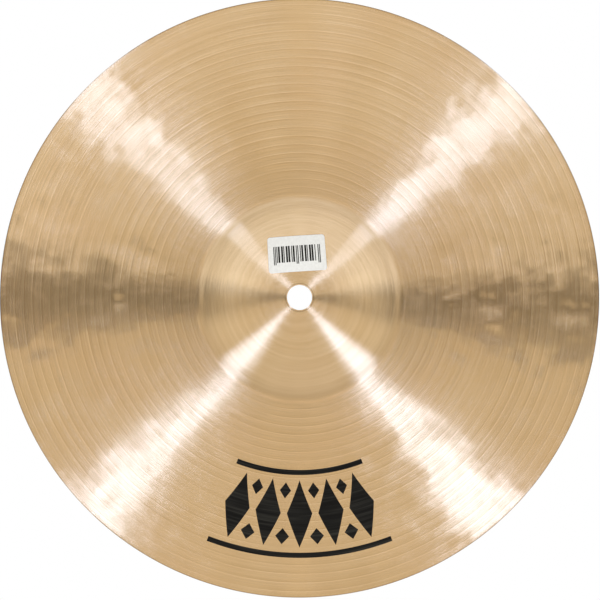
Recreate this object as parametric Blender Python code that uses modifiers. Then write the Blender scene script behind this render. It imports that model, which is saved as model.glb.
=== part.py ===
"""A 12-inch splash cymbal: one bronze casting, with the paper label stuck inside its bell.

Metres, +Z up. The cymbal lies on its edge on the plane z = 0, bell up, and its axis is Z.
From the outside in, the metal has an edge, a shallow bow, a hollow cove, a domed bell and a
crown that is flat round the hole, where the felt washers of a stand press on it.
"""

import math
from dataclasses import dataclass

import bmesh
import bpy
import numpy as np

# Outline of the metal's middle line
DIAMETER = 0.3048
BOW_HEIGHT = 0.0135
BELL_DIAMETER = 0.1020
BELL_HEIGHT = 0.0140
COVE_RADIUS = 0.0090
CROWN_SHOULDER_RADIUS = 0.0400
CROWN_FLAT_DIAMETER = 0.0240

# Hole
HOLE_DIAMETER = 0.0130
HOLE_CHAMFER = 0.00015

# The metal is rolled, then turned thinner towards the edge
BELL_THICKNESS = 0.00092
BOW_THICKNESS = 0.00077
EDGE_THICKNESS = 0.00052
EDGE_LAND = 0.0005
EDGE_CHAMFER = 0.0001

# Label, flat on its backing sheet, and where it is stuck, measured over the bell's surface
LABEL_WIDTH = 0.0304
LABEL_HEIGHT = 0.0194
LABEL_CORNER_RADIUS = 0.0015
LABEL_THICKNESS = 0.00015
LABEL_ACROSS = -0.0014
LABEL_FROM_AXIS = 0.0232
LABEL_TURN = math.radians(-3.8)
LABEL_CLEARANCE = 0.0003

# Facets
SECTORS = 96
SHOULDER_STEPS = 2
BELL_STEPS = 6
COVE_STEPS = 5
BOW_STEPS = 7
LABEL_COLUMNS = 14
LABEL_ROWS = 14
LABEL_CORNER_ROWS = 3
SHARP_ANGLE = math.radians(35.0)


@dataclass(frozen=True)
class Arc:
    """A stretch of the middle line. Its slope is 0 where the metal is level, more where it falls outwards."""

    centre_r: float
    centre_z: float
    radius: float  # below zero where the stretch is hollow from above, as the cove is
    slope_in: float
    slope_out: float
    steps: int

    @property
    def length(self):
        return abs(self.radius * (self.slope_out - self.slope_in))

    def at(self, share):
        """Distance from the axis, height and slope, share of the way along."""
        slope = self.slope_in + share * (self.slope_out - self.slope_in)
        return (
            self.centre_r + self.radius * math.sin(slope),
            self.centre_z + self.radius * math.cos(slope),
            slope,
        )

    def points(self):
        """The points after the first, which is the last of the stretch before."""
        return [self.at(step / self.steps) for step in range(1, self.steps + 1)]


def bow_circle():
    """Height of the centre and radius of the circle, centred on the axis, from the edge to the bell's foot."""
    foot, edge = BELL_DIAMETER / 2, DIAMETER / 2
    centre = (foot**2 + BOW_HEIGHT**2 - edge**2) / (2 * BOW_HEIGHT)
    return centre, math.hypot(edge, centre)


def bell_circle():
    """Height of the centre and radius of the circle through the bell's foot that the crown's shoulder runs into.

    The shoulder's circle touches the level crown at the rim of its flat, and touches this one from
    inside. With depth as the height of the foot over the centre, those two conditions give
    radius = base + gain * depth, and the foot gives radius ** 2 = foot ** 2 + depth ** 2.
    """
    foot, flat, shoulder = BELL_DIAMETER / 2, CROWN_FLAT_DIAMETER / 2, CROWN_SHOULDER_RADIUS
    rise = BELL_HEIGHT - shoulder
    base = (shoulder**2 + foot**2 - flat**2 - rise**2) / (2 * shoulder)
    gain = -rise / shoulder
    square, middle, last = 1 - gain**2, -2 * base * gain, foot**2 - base**2
    depth = (-middle + math.sqrt(middle**2 - 4 * square * last)) / (2 * square)
    return BOW_HEIGHT - depth, base + gain * depth


def middle_line():
    """The arcs of the middle line from the rim of the crown's flat to the edge's land."""
    bow_z, bow_radius = bow_circle()
    bell_z, bell_radius = bell_circle()
    flat = CROWN_FLAT_DIAMETER / 2
    shoulder_z = BOW_HEIGHT + BELL_HEIGHT - CROWN_SHOULDER_RADIUS
    shoulder_slope = math.atan2(flat, shoulder_z - bell_z)

    # The cove's circle touches the bell's and the bow's from outside
    to_bell, to_bow = bell_radius + COVE_RADIUS, bow_radius + COVE_RADIUS
    cove_z = (to_bell**2 - to_bow**2 - bell_z**2 + bow_z**2) / (2 * (bow_z - bell_z))
    cove_r = math.sqrt(to_bell**2 - (cove_z - bell_z) ** 2)
    bell_slope = math.atan2(cove_r, cove_z - bell_z)
    bow_slope = math.atan2(cove_r, cove_z - bow_z)
    land_slope = math.asin((DIAMETER / 2 - EDGE_CHAMFER - EDGE_LAND) / bow_radius)

    return [
        Arc(flat, shoulder_z, CROWN_SHOULDER_RADIUS, 0.0, shoulder_slope, SHOULDER_STEPS),
        Arc(0.0, bell_z, bell_radius, shoulder_slope, bell_slope, BELL_STEPS),
        Arc(cove_r, cove_z, -COVE_RADIUS, bell_slope, bow_slope, COVE_STEPS),
        Arc(0.0, bow_z, bow_radius, bow_slope, land_slope, BOW_STEPS),
    ]


def thickness(radius):
    """The metal's thickness at a distance from the axis: even over the bell, then tapered twice."""
    foot = BELL_DIAMETER / 2
    return float(
        np.interp(
            radius,
            (foot - COVE_RADIUS, foot + COVE_RADIUS, DIAMETER / 2),
            (BELL_THICKNESS, BOW_THICKNESS, EDGE_THICKNESS),
        )
    )


def beside(point, distance):
    """The place square to the middle line at one of its points, above it or, below zero, under it."""
    radius, height, slope = point
    return radius + distance * math.sin(slope), height + distance * math.cos(slope)


def land_drop(arcs):
    """Height of the middle line's end over the plane that the edge rests on, less its own height."""
    radius, height, slope = arcs[-1].at(1)
    return -beside((radius, height, slope), -thickness(radius) / 2)[1]


def cymbal_section():
    """The cymbal's closed section, as radius and height, out along the top and back along the underside."""
    arcs = middle_line()
    lift = land_drop(arcs)
    crown_z = BOW_HEIGHT + BELL_HEIGHT
    line = [(HOLE_DIAMETER / 2 + HOLE_CHAMFER, crown_z, 0.0), (CROWN_FLAT_DIAMETER / 2, crown_z, 0.0)]
    for arc in arcs:
        line += arc.points()

    top = [beside(point, thickness(point[0]) / 2) for point in line]
    underside = [beside(point, -thickness(point[0]) / 2) for point in line]
    top = [(radius, height + lift) for radius, height in top]
    underside = [(radius, height + lift) for radius, height in underside]

    edge = DIAMETER / 2
    edge_top = top[-1][1] - (edge - EDGE_CHAMFER - top[-1][0]) * math.tan(line[-1][2])
    rim = [
        (edge - EDGE_CHAMFER, edge_top),
        (edge, edge_top - EDGE_CHAMFER),
        (edge, EDGE_CHAMFER),
        (edge - EDGE_CHAMFER, 0.0),
    ]
    bore = [
        (HOLE_DIAMETER / 2, underside[0][1] + HOLE_CHAMFER),
        (HOLE_DIAMETER / 2, top[0][1] - HOLE_CHAMFER),
    ]
    return top + rim + underside[::-1] + bore


def under_the_bell(distance, clearance):
    """Radius and height of the place that lies clearance under the metal, distance out from the axis over it."""
    arcs = middle_line()
    crown_z = BOW_HEIGHT + BELL_HEIGHT
    lift = land_drop(arcs)
    left = distance - CROWN_FLAT_DIAMETER / 2
    point = (distance, crown_z, 0.0)
    for arc in arcs:
        if left > 0:
            point = arc.at(min(left / arc.length, 1))
            left -= arc.length
    radius, height = beside(point, -thickness(point[0]) / 2 - clearance)
    return radius, height + lift


def label_outline_point(across, up):
    """The place on the flat label of a grid point, given as shares from -1 to 1 of its half width and height.

    The outer rows of the grid follow the rounded corners, and the others share the straight sides.
    """
    corner_rows = 2 * LABEL_CORNER_ROWS / LABEL_ROWS
    straight_x = LABEL_WIDTH / 2 - LABEL_CORNER_RADIUS
    straight_y = LABEL_HEIGHT / 2 - LABEL_CORNER_RADIUS
    into_corner = (abs(up) - (1 - corner_rows)) / corner_rows
    if into_corner <= 0:
        return across * LABEL_WIDTH / 2, up / (1 - corner_rows) * straight_y
    turn = into_corner * math.pi / 2
    half_width = straight_x + LABEL_CORNER_RADIUS * math.cos(turn)
    height = straight_y + LABEL_CORNER_RADIUS * math.sin(turn)
    return across * half_width, math.copysign(height, up)


def draped(x, y):
    """The place under the bell of a point of the flat label, whose distance from the axis is kept over the metal."""
    x, y = (
        LABEL_ACROSS + x * math.cos(LABEL_TURN) - y * math.sin(LABEL_TURN),
        -LABEL_FROM_AXIS + x * math.sin(LABEL_TURN) + y * math.cos(LABEL_TURN),
    )
    distance = math.hypot(x, y)
    radius, height = under_the_bell(distance, LABEL_CLEARANCE)
    return x * radius / distance, y * radius / distance, height


def finish(name, colour, metallic, roughness):
    """A Principled material."""
    material = bpy.data.materials.new(name)
    material.use_nodes = True
    shader = material.node_tree.nodes["Principled BSDF"]
    shader.inputs["Base Color"].default_value = (*colour, 1.0)
    shader.inputs["Metallic"].default_value = metallic
    shader.inputs["Roughness"].default_value = roughness
    material.diffuse_color = (*colour, 1.0)
    return material


def placed(name, mesh, material, collection):
    """A new object with this mesh and material, in the collection."""
    mesh.materials.append(material)
    piece = bpy.data.objects.new(name, mesh)
    collection.objects.link(piece)
    return piece


def settle(piece):
    """Applies the modifiers, and shades the piece smooth but for its true corners."""
    graph = bpy.context.evaluated_depsgraph_get()
    piece.data = bpy.data.meshes.new_from_object(piece.evaluated_get(graph))
    piece.modifiers.clear()
    piece.data.shade_smooth()
    piece.data.set_sharp_from_angle(angle=SHARP_ANGLE)


def make_cymbal(collection):
    """The casting, its section turned round the axis."""
    section = cymbal_section()
    count = len(section)
    mesh = bpy.data.meshes.new("cymbal")
    mesh.from_pydata(
        [(radius, 0.0, height) for radius, height in section],
        [(index, (index + 1) % count) for index in range(count)],
        [],
    )
    bronze = finish("lathed_bronze", (0.60, 0.40, 0.20), 1.0, 0.38)
    cymbal = placed("cymbal", mesh, bronze, collection)
    turn = cymbal.modifiers.new("Turn", "SCREW")
    turn.axis = "Z"
    turn.angle = 2 * math.pi
    turn.steps = turn.render_steps = SECTORS
    turn.use_smooth_shade = True
    settle(cymbal)
    return cymbal


def make_label(collection):
    """The label, a sheet that follows the inside of the bell, thickened away from the metal."""
    mesh = bpy.data.meshes.new("label")
    sheet = bmesh.new()
    bmesh.ops.create_grid(sheet, x_segments=LABEL_COLUMNS, y_segments=LABEL_ROWS, size=1.0)
    for vertex in sheet.verts:
        vertex.co = draped(*label_outline_point(vertex.co.x, vertex.co.y))
    sheet.to_mesh(mesh)
    sheet.free()
    paper = finish("label_paper", (0.84, 0.82, 0.78), 0.0, 0.6)
    label = placed("label", mesh, paper, collection)
    thicken = label.modifiers.new("Thicken", "SOLIDIFY")
    thicken.thickness = LABEL_THICKNESS
    thicken.offset = -1.0
    settle(label)
    return label


def main():
    for old in list(bpy.data.objects):
        bpy.data.objects.remove(old)
    collection = bpy.data.collections.new("splash_cymbal")
    bpy.context.scene.collection.children.link(collection)
    cymbal = make_cymbal(collection)
    label = make_label(collection)
    label.parent = cymbal


main()
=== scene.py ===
"""Looks of a 12-inch splash cymbal: lathed bronze, a printed band and the paper label inside the bell.

Metres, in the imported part's own frame: +Z is the cymbal's axis, towards the bell's crown, and its edge
rests on z = 0. The camera looks up at the underside, with -Y at the top of the picture.
"""

import logging
import math
from dataclasses import dataclass, field
from enum import Enum
from typing import Callable, Sequence, Union

import bmesh
import bpy
import numpy as np
from mathutils import Matrix, Vector

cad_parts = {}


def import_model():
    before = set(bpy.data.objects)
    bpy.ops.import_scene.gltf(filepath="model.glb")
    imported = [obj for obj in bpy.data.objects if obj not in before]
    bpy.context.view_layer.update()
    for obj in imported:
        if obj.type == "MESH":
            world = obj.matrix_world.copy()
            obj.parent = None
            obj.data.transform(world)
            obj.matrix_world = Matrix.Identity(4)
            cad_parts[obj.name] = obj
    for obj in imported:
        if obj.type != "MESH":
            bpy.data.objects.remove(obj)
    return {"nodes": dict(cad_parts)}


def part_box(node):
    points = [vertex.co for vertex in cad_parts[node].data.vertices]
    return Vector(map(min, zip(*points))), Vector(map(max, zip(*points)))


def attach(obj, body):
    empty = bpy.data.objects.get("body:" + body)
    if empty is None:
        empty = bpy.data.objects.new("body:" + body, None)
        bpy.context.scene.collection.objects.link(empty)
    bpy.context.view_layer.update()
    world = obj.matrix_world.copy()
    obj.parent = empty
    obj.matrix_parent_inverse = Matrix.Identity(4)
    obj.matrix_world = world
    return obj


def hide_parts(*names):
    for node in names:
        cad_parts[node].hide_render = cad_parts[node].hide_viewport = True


LOG = logging.getLogger("splash_cymbal")
ROOT_BODY = "root"
FRAME_PIXELS = 600.0
FULL_TURN = 2 * math.pi
SLAB_SHARP_ANGLE = math.radians(40.0)

Colour = tuple[float, float, float]
Operand = Union["Socket", float, int]
Shade = Union["Socket", Colour]
Corner = tuple[float, float]
Span = tuple[float, float]
Placer = Callable[[np.ndarray, float], np.ndarray]


class Side(Enum):
    """The two faces of the metal, by the sign of their outward normal along the axis."""

    TOP = 1
    UNDERSIDE = -1


@dataclass(frozen=True)
class Socket:
    """An output of a node. Arithmetic on it adds Math nodes to its tree and gives their output."""

    nodes: "NodeTree"
    output: bpy.types.NodeSocket

    def __add__(self, other: Operand) -> "Socket":
        """The sum."""
        return self.nodes.maths("ADD", self, other)

    def __radd__(self, other: Operand) -> "Socket":
        """The sum, with a number on the left."""
        return self.nodes.maths("ADD", other, self)

    def __sub__(self, other: Operand) -> "Socket":
        """The difference."""
        return self.nodes.maths("SUBTRACT", self, other)

    def __rsub__(self, other: Operand) -> "Socket":
        """The difference, with a number on the left."""
        return self.nodes.maths("SUBTRACT", other, self)

    def __mul__(self, other: Operand) -> "Socket":
        """The product."""
        return self.nodes.maths("MULTIPLY", self, other)

    def __rmul__(self, other: Operand) -> "Socket":
        """The product, with a number on the left."""
        return self.nodes.maths("MULTIPLY", other, self)

    def __truediv__(self, other: Operand) -> "Socket":
        """The quotient."""
        return self.nodes.maths("DIVIDE", self, other)

    def __abs__(self) -> "Socket":
        """The size without its sign."""
        return self.nodes.maths("ABSOLUTE", self)


class NodeTree:
    """The nodes of a material or of the world, added one call at a time."""

    # A Mix node's sockets by number, because several of them share a name
    MIX_FACTOR, MIX_FIRST, MIX_SECOND, MIX_RESULT = 0, 6, 7, 2

    def __init__(self, owner: Union[bpy.types.Material, bpy.types.World]) -> None:
        """Empties the owner's tree.

        Args:
            owner: the material or world whose nodes are made here.
        """
        owner.use_nodes = True
        self.tree = owner.node_tree
        self.tree.nodes.clear()

    def add(self, kind: str, settings: dict | None = None, inputs: dict | None = None) -> bpy.types.Node:
        """Adds one node.

        Args:
            kind: the node's type name.
            settings: attributes of the node, set before its sockets.
            inputs: values or sockets for its inputs, by name or by number.

        Returns:
            The new node.
        """
        node = self.tree.nodes.new(kind)
        for name, value in (settings or {}).items():
            setattr(node, name, value)
        for name, value in (inputs or {}).items():
            target = node.inputs[name]
            if isinstance(value, Socket):
                self.tree.links.new(value.output, target)
            else:
                target.default_value = value
        return node

    def out(self, node: bpy.types.Node, name: Union[str, int] = 0) -> Socket:
        """One of a node's outputs, wrapped."""
        return Socket(self, node.outputs[name])

    def maths(self, operation: str, *operands: Operand) -> Socket:
        """A Math node's result."""
        return self.out(self.add("ShaderNodeMath", {"operation": operation}, dict(enumerate(operands))))

    def vector(self, operation: str, *operands: Shade, result: str = "Vector") -> Socket:
        """A Vector Math node's result."""
        node = self.add("ShaderNodeVectorMath", {"operation": operation}, dict(enumerate(operands)))
        return self.out(node, result)

    def scaled(self, vector: Shade, factor: Operand) -> Socket:
        """A vector times a number."""
        node = self.add("ShaderNodeVectorMath", {"operation": "SCALE"}, {0: vector, "Scale": factor})
        return self.out(node)

    def joined(self, x: Operand, y: Operand, z: Operand) -> Socket:
        """A vector of three numbers."""
        return self.out(self.add("ShaderNodeCombineXYZ", inputs={0: x, 1: y, 2: z}))

    def split(self, vector: Socket) -> tuple[Socket, Socket, Socket]:
        """A vector's three numbers."""
        node = self.add("ShaderNodeSeparateXYZ", inputs={0: vector})
        return self.out(node, "X"), self.out(node, "Y"), self.out(node, "Z")

    def bump(self, height: Socket, depth: float, strength: float, before: Socket | None = None) -> Socket:
        """A normal bent by a height.

        Args:
            height: the height, 0 to 1.
            depth: what a height of 1 stands for, metres.
            strength: how much of the bump is used, 0 to 1.
            before: the normal before, or None for the surface's own.

        Returns:
            The new normal.
        """
        inputs = {"Strength": strength, "Distance": depth, "Height": height}
        if before is not None:
            inputs["Normal"] = before
        return self.out(self.add("ShaderNodeBump", inputs=inputs))

    def surface(self, inputs: dict) -> None:
        """Ends a material with a Principled shader of these inputs."""
        shader = self.add("ShaderNodeBsdfPrincipled", inputs=inputs)
        self.add("ShaderNodeOutputMaterial", inputs={"Surface": self.out(shader)})

    def blend(self, share: Operand, first: Shade, second: Shade) -> Socket:
        """A colour between two others.

        Args:
            share: 0 for the first colour, 1 for the second.
            first: a colour.
            second: a colour.

        Returns:
            The mixed colour.
        """
        colours = {
            self.MIX_FIRST: first if isinstance(first, Socket) else (*first, 1.0),
            self.MIX_SECOND: second if isinstance(second, Socket) else (*second, 1.0),
        }
        node = self.add("ShaderNodeMix", {"data_type": "RGBA"}, {self.MIX_FACTOR: share, **colours})
        return self.out(node, self.MIX_RESULT)

    def ramp(self, value: Socket, low: float, high: float, smooth: bool = True) -> Socket:
        """A rise from 0 to 1.

        Args:
            value: what it follows.
            low: the value up to which it is 0.
            high: the value from which it is 1.
            smooth: whether it is eased at both ends, or else straight.

        Returns:
            The rise.
        """
        settings = {"interpolation_type": "SMOOTHSTEP" if smooth else "LINEAR"}
        inputs = {"Value": value, "From Min": low, "From Max": high}
        return self.out(self.add("ShaderNodeMapRange", settings, inputs))

    def noise(self, place: Socket, scale: float, detail: float = 2.0, rough: float = 0.5) -> Socket:
        """Noise between 0 and 1 over a place."""
        inputs = {"Vector": place, "Scale": scale, "Detail": detail, "Roughness": rough}
        return self.out(self.add("ShaderNodeTexNoise", {"noise_dimensions": "3D"}, inputs))


@dataclass(frozen=True)
class AroundTheAxis:
    """Where the shaded point is, seen along the cymbal's axis.

    The turning tool's passes drift off true circles by a noise, whose marks are drift_passes passes wide
    and change round the axis by drift_wander.
    """

    nodes: NodeTree
    place: Socket
    radius: Socket
    east: Socket
    south: Socket
    drift_passes: float = 5.0
    drift_wander: float = 1.3

    @classmethod
    def of(cls, nodes: NodeTree) -> "AroundTheAxis":
        """Reads the shaded point's object coordinates.

        Args:
            nodes: the tree to add to.

        Returns:
            Its place, its distance from the axis, and the cosine and sine of its bearing.
        """
        place = nodes.out(nodes.add("ShaderNodeTexCoord"), "Object")
        flat = nodes.vector("MULTIPLY", place, (1.0, 1.0, 0.0))
        radius = nodes.vector("LENGTH", flat, result="Value")
        east, south, _ = nodes.split(nodes.vector("NORMALIZE", flat))
        return cls(nodes, place, radius, east, south)

    def rings(self, pitch: float, wander: float, detail: float = 1.0, rough: float = 0.5) -> Socket:
        """Noise drawn out along circles round the axis, as turning marks are.

        Args:
            pitch: distance from one mark to the next, metres.
            wander: how fast the marks change round the axis; 0 makes them full circles.
            detail: octaves of finer marks.
            rough: share of each finer octave.

        Returns:
            The noise, 0 to 1.
        """
        vector = self.nodes.joined(self.radius / pitch, self.east * wander, self.south * wander)
        return self.nodes.noise(vector, 1.0, detail, rough)

    def passes(self, pitch: float, wander: float) -> tuple[Socket, Socket]:
        """The turning tool's passes.

        Args:
            pitch: width of a pass, metres.
            wander: how far the passes drift from true circles, as a share of their width.

        Returns:
            How far across its pass the point is, 0 to 1, and the pass's number.
        """
        drift = self.rings(self.drift_passes * pitch, self.drift_wander) * wander
        count = self.radius / pitch + drift
        number = self.nodes.maths("FLOOR", count)
        return count - number, number

    def line(self, radius: float, half_width: float) -> Socket:
        """A thin circle round the axis: 1 at its radius, 0 beyond its half-width."""
        return 1 - self.nodes.ramp(abs(self.radius - radius), 0.0, half_width)

    def between(self, rise: Span, fall: Span) -> Socket:
        """A broad ring round the axis: 1 between a rise and a fall, each a pair of radii."""
        return self.nodes.ramp(self.radius, *rise) * (1 - self.nodes.ramp(self.radius, *fall))

    def leaning(self, normal: Socket, round_it: Socket, outwards: Socket) -> Socket:
        """A normal that leans.

        Args:
            normal: the normal before.
            round_it: the tangent of its lean's angle round the axis.
            outwards: the tangent of its lean's angle away from the axis.

        Returns:
            The new normal, of length 1.
        """
        tangent = self.nodes.joined(0.0 - self.south, self.east, 0.0)
        away = self.nodes.joined(self.east, self.south, 0.0)
        bent = self.nodes.vector("ADD", normal, self.nodes.scaled(tangent, round_it))
        bent = self.nodes.vector("ADD", bent, self.nodes.scaled(away, outwards))
        return self.nodes.vector("NORMALIZE", bent)


@dataclass(frozen=True)
class TurningMarks:
    """What turning leaves at the shaded point."""

    hairs: Socket
    grooves: Socket
    phase: Socket
    number: Socket
    bow: Socket


@dataclass(frozen=True)
class LathedBronze:
    """Cast bronze, hammered and then turned all over, so that it shines in beams from the axis.

    Pitches and radii are in metres, scales in noise cells a metre, and a lean is the tangent of its
    angle. A rise or a fall is a pair of values, where a change begins and where it ends. A line is its
    radius and its half-width.
    """

    name: str = "lathed_bronze"

    # Colours, and the tone between dull and bright that each kind of mark adds
    bright: Colour = (0.905, 0.697, 0.470)
    dull: Colour = (0.695, 0.489, 0.262)
    groove_tone: float = 0.22
    bell_groove_tone: float = 0.30
    line_tone: float = 0.36
    hair_tone: float = 0.08
    patch_tone: float = 0.5
    patch_scale: float = 26.0
    peach: Colour = (0.840, 0.600, 0.390)
    peach_share: float = 0.25
    peach_scale: float = 17.0
    peach_rise: Span = (0.4, 0.7)

    # Painted sheen on the crest at the start of each pass of the tool, and painted shade in the trough at
    # its end
    pass_pitch: float = 0.0044
    pass_wander: float = 0.12
    crest_end: float = 0.14
    crest_sheen_gain: float = 0.30
    trough_start: float = 0.84
    trough_shade_loss: float = 0.22
    pass_shade_loss: float = 0.14
    crest_tone: float = 1.6
    crest_least: float = 0.35
    crest_patch_pitch: float = 0.020
    crest_patch_wander: float = 1.8
    crest_patch_rise: Span = (0.35, 0.60)

    # Painted shade: the colour darkens at the edge, at the hole and at the bell's foot
    painted_shade_colour: Colour = (0.32, 0.22, 0.12)
    edge_share: float = 0.7
    edge_rise: Span = (0.15180, 0.15215)
    hole_shade_line: Span = (0.00725, 0.0004)
    foot_shade_share: float = 0.12
    foot_rise: Span = (0.0445, 0.0505)
    foot_fall: Span = (0.0515, 0.0535)
    foot_line_shade_share: float = 0.13
    foot_line: Span = (0.0511, 0.0029)

    # Roughness
    roughness: float = 0.12
    roughness_spread: float = 0.04
    centre_roughness: float = 0.08
    centre_fall: Span = (0.012, 0.045)
    anisotropy: float = 1.0
    across_the_grooves: float = 0.25

    # Turning marks
    bow_rise: Span = (0.048, 0.060)
    hair_pitch: float = 0.0007
    hair_wander: float = 6.0
    groove_pitch: float = 0.0017
    groove_wander: float = 0.45
    groove_depth: float = 0.000004
    line_pitch: float = 0.0008
    line_wander: float = 1.0
    scratch_pitch: float = 0.00002
    scratch_wander: float = 3.0

    # Leans of the normal round the axis, which break up the beams
    hair_lean: float = 0.004
    chatter_lean: float = 0.038
    chatter_wander: float = 21.0
    chatter_step: float = 0.55
    chatter_start: float = 0.4
    worked_least: float = 0.30
    worked_rise: Span = (0.82, 0.98)
    lump_scale: float = 95.0
    lump_lean: float = 0.022
    tooth_lean: float = 0.003
    full_lean_radius: float = 0.13

    # Leans away from the axis, which draw the beams out, and the calm ring outside the bell's foot
    groove_lean: float = 0.012
    scratch_lean: float = 0.80
    calm_share: float = 0.6
    calm_rise: Span = (0.0515, 0.0545)
    calm_fall: Span = (0.060, 0.095)

    def marks(self, spot: AroundTheAxis) -> TurningMarks:
        """The turning marks at the shaded point.

        Args:
            spot: where it is.

        Returns:
            Its marks.
        """
        phase, number = spot.passes(self.pass_pitch, self.pass_wander)
        return TurningMarks(
            hairs=spot.rings(self.hair_pitch, self.hair_wander, detail=2.0, rough=0.6),
            grooves=spot.rings(self.groove_pitch, self.groove_wander),
            phase=phase,
            number=number,
            bow=spot.nodes.ramp(spot.radius, *self.bow_rise),
        )

    def painted_pass_sheen(self, spot: AroundTheAxis, marks: TurningMarks) -> Socket:
        """Painted sheen and shade of the tool's passes, paler on each crest and darker in each trough,
        which come and go over the bow.

        Args:
            spot: where the shaded point is.
            marks: its turning marks.

        Returns:
            The tone, above 0 on a crest.
        """
        nodes = spot.nodes
        # Painted sheen: paler at the start of each pass; painted shade: darker towards its end
        painted_pass_sheen = (1 - nodes.ramp(marks.phase, 0.0, self.crest_end)) * self.crest_sheen_gain
        painted_pass_sheen = painted_pass_sheen - nodes.ramp(marks.phase, self.trough_start, 1.0) * self.trough_shade_loss
        painted_pass_sheen = painted_pass_sheen - (marks.phase - 0.5) * self.pass_shade_loss
        patches = spot.rings(self.crest_patch_pitch, self.crest_patch_wander)
        presence = self.crest_least + (1 - self.crest_least) * nodes.ramp(patches, *self.crest_patch_rise)
        return painted_pass_sheen * (presence * marks.bow)

    def colour(self, spot: AroundTheAxis, marks: TurningMarks) -> Socket:
        """The metal's colour, with painted sheen and shade along the tool's passes, and painted shade at
        the edge, the hole and the bell's foot.

        Args:
            spot: where the shaded point is.
            marks: its turning marks.

        Returns:
            The colour.
        """
        nodes = spot.nodes
        groove_tone = self.groove_tone + self.bell_groove_tone * (1 - marks.bow)
        lines = spot.rings(self.line_pitch, self.line_wander)
        tone = 0.5 + (marks.grooves - 0.5) * groove_tone + (lines - 0.5) * self.line_tone
        # The passes' painted sheen and shade join the tone here
        tone = tone + (marks.hairs - 0.5) * self.hair_tone + self.painted_pass_sheen(spot, marks) * self.crest_tone
        tone = tone + (nodes.noise(spot.place, self.patch_scale) - 0.5) * self.patch_tone
        colour = nodes.blend(nodes.ramp(tone, 0.0, 1.0, smooth=False), self.dull, self.bright)
        peach = nodes.ramp(nodes.noise(spot.place, self.peach_scale, detail=1.0), *self.peach_rise)
        colour = nodes.blend(peach * self.peach_share, colour, self.peach)
        # Painted shade: darker at the edge's land, round the hole and at the bell's foot
        painted_rim_shade = nodes.ramp(spot.radius, *self.edge_rise) + spot.line(*self.hole_shade_line)
        painted_foot_shade = spot.between(self.foot_rise, self.foot_fall) * self.foot_shade_share
        painted_foot_shade = painted_foot_shade + spot.line(*self.foot_line) * self.foot_line_shade_share
        return nodes.blend(painted_rim_shade * self.edge_share + painted_foot_shade, colour, self.painted_shade_colour)

    def normal(self, spot: AroundTheAxis, marks: TurningMarks) -> Socket:
        """The metal's normal, leaning with the hammer marks, the tool's chatter and the fine scratches.

        Args:
            spot: where the shaded point is.
            marks: its turning marks.

        Returns:
            The normal.
        """
        nodes = spot.nodes
        step = marks.number + nodes.ramp(marks.phase, self.chatter_start, 1.0)
        across, along = spot.east * self.chatter_wander, spot.south * self.chatter_wander
        chatter = nodes.noise(nodes.joined(step * self.chatter_step, across, along), 1.0, detail=1.0)
        band = nodes.ramp(abs(spot.east), *self.worked_rise)
        worked = (self.worked_least + (1 - self.worked_least) * band) * marks.bow
        lumps = nodes.noise(spot.place, self.lump_scale, detail=1.0)
        active = 1 - self.calm_share * spot.between(self.calm_rise, self.calm_fall)
        lean = (marks.hairs - 0.5) * self.hair_lean + (chatter - 0.5) * worked * self.chatter_lean
        lean = lean + (lumps - 0.5) * marks.bow * active * self.lump_lean
        lean = lean + (marks.grooves - 0.5) * self.tooth_lean
        lean = lean * spot.radius / self.full_lean_radius
        scratches = spot.rings(self.scratch_pitch, self.scratch_wander, detail=0.0)
        tilt = (marks.grooves - 0.5) * self.groove_lean + (scratches - 0.5) * self.scratch_lean
        true_normal = nodes.out(nodes.add("ShaderNodeNewGeometry"), "Normal")
        bent = spot.leaning(true_normal, lean, tilt * active)
        return nodes.bump(marks.grooves, self.groove_depth, 1.0, bent)

    def material(self) -> bpy.types.Material:
        """The finish as a material.

        Returns:
            The new material.
        """
        material = bpy.data.materials.new(self.name)
        nodes = NodeTree(material)
        spot = AroundTheAxis.of(nodes)
        marks = self.marks(spot)
        roughness = self.roughness + (marks.grooves - 0.5) * self.roughness_spread
        centre = 1 - nodes.ramp(spot.radius, *self.centre_fall)
        nodes.surface(
            {
                "Base Color": self.colour(spot, marks),
                "Metallic": 1.0,
                "Roughness": roughness + centre * self.centre_roughness,
                "Anisotropic": self.anisotropy,
                "Anisotropic Rotation": self.across_the_grooves,
                "Normal": self.normal(spot, marks),
            }
        )
        return material


@dataclass(frozen=True)
class LabelPaper:
    """Smooth white label paper."""

    name: str = "label_paper"
    pale: Colour = (0.88, 0.87, 0.84)
    shaded: Colour = (0.80, 0.79, 0.76)
    roughness: float = 0.55
    grain: float = 900.0
    grain_rise: Span = (0.3, 0.7)
    grain_depth: float = 0.00002
    grain_strength: float = 0.4

    def material(self) -> bpy.types.Material:
        """The finish as a material.

        Returns:
            The new material.
        """
        material = bpy.data.materials.new(self.name)
        nodes = NodeTree(material)
        place = nodes.out(nodes.add("ShaderNodeTexCoord"), "Object")
        fibres = nodes.noise(place, self.grain, detail=3.0, rough=0.6)
        colour = nodes.blend(nodes.ramp(fibres, *self.grain_rise), self.shaded, self.pale)
        normal = nodes.bump(fibres, self.grain_depth, self.grain_strength)
        nodes.surface({"Base Color": colour, "Roughness": self.roughness, "Normal": normal})
        return material


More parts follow.
